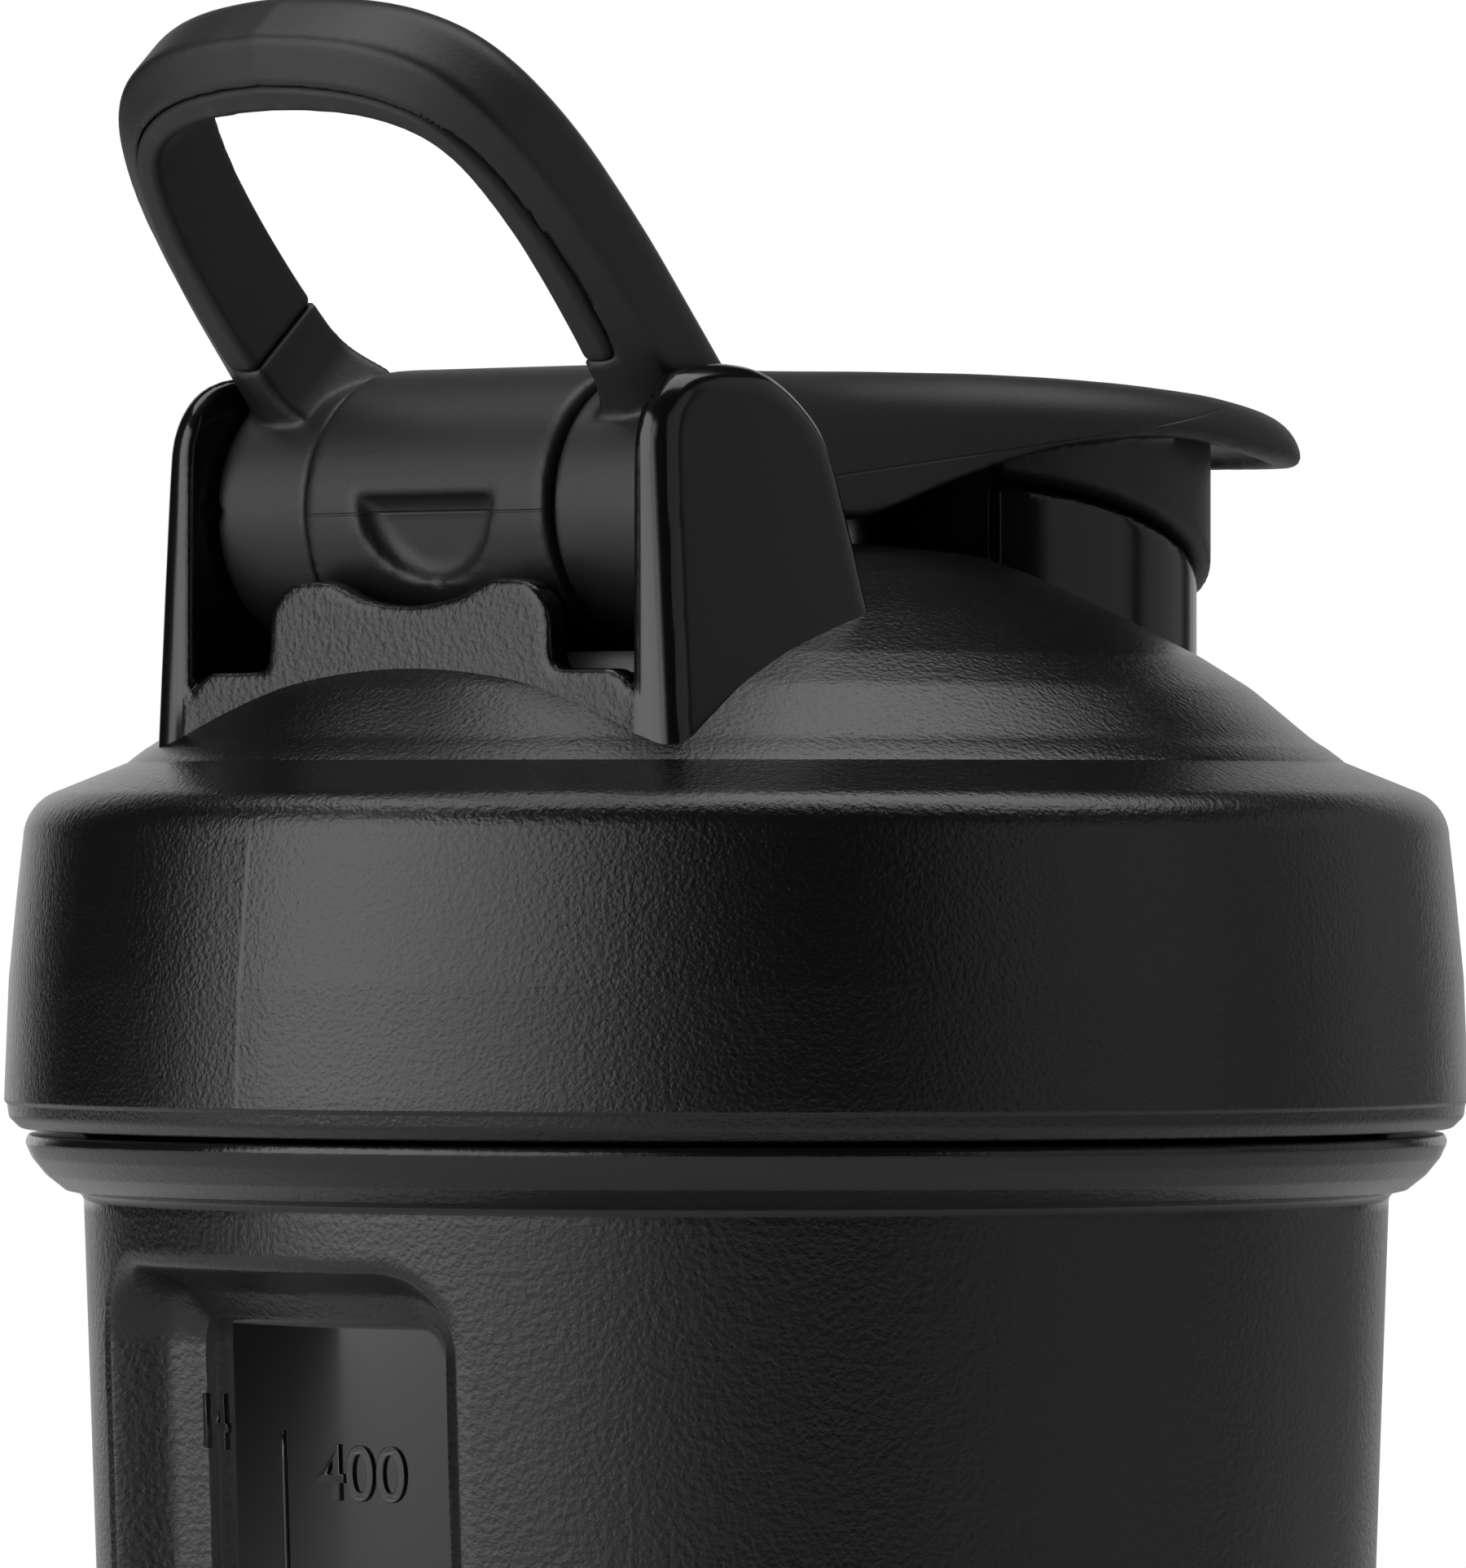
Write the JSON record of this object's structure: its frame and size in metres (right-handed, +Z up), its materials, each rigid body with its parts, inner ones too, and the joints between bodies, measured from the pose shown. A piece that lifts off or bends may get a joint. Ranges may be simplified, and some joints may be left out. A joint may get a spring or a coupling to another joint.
{
  "type": "protein shaker bottle",
  "caption": "Screw-lid drink shaker: tapered jar with a volume window, domed lid with flip cap and spout, tilting carry loop, loose wire whisk ball inside.",
  "frame": {"origin": "centre of the jar's foot, on the surface it stands on", "axes": "+Z up, +X along the hinge, +Y from the hinge towards the spout"},
  "size_m": [0.0922, 0.0922, 0.1898],
  "materials": {
    "jar_plastic": "fine moulded grain, glossy window",
    "lid_plastic": "fine moulded grain, glossy hinge towers",
    "cap_plastic": "smooth satin",
    "loop_plastic": "smooth satin",
    "grip_rubber": "soft matt",
    "seal_rubber": "soft matt",
    "wire_steel": "drawn wire"
  },
  "bodies": {
    "jar": {"jar": "jar_plastic"},
    "seal_ring": {"lid_seal": "seal_rubber"},
    "lid": {"lid": "lid_plastic"},
    "cap": {"flip_cap": "cap_plastic", "cap_seal": "seal_rubber"},
    "loop": {"carry_loop": "loop_plastic", "loop_grip": "grip_rubber"},
    "whisk": {"whisk_ball": "wire_steel"}
  },
  "joints": [
    {"name": "lid_lift", "type": "slide", "parent": "jar", "child": "seal_ring", "axis": [0, 0, 1], "range_m": [0, 0.01]},
    {"name": "lid_turn", "type": "hinge", "parent": "seal_ring", "child": "lid", "pos_m": [0, 0, 0.1196], "axis": [0, 0, 1], "range_deg": [0, 450]},
    {"name": "cap_flip", "type": "hinge", "parent": "lid", "child": "cap", "pos_m": [0, -0.0206, 0.1581], "axis": [1, 0, 0], "range_deg": [0, 95]},
    {"name": "loop_swing", "type": "hinge", "parent": "lid", "child": "loop", "pos_m": [0, -0.0206, 0.1581], "axis": [1, 0, 0], "range_deg": [0, 70]},
    {"name": "ball_rise", "type": "slide", "parent": "jar", "child": "whisk", "axis": [0, 0, 1], "range_m": [0, 0.07]}
  ],
  "couplings": [
    {"joint": "lid_lift", "follows": "lid_turn", "m_per_rad": 0.0012732}
  ]
}
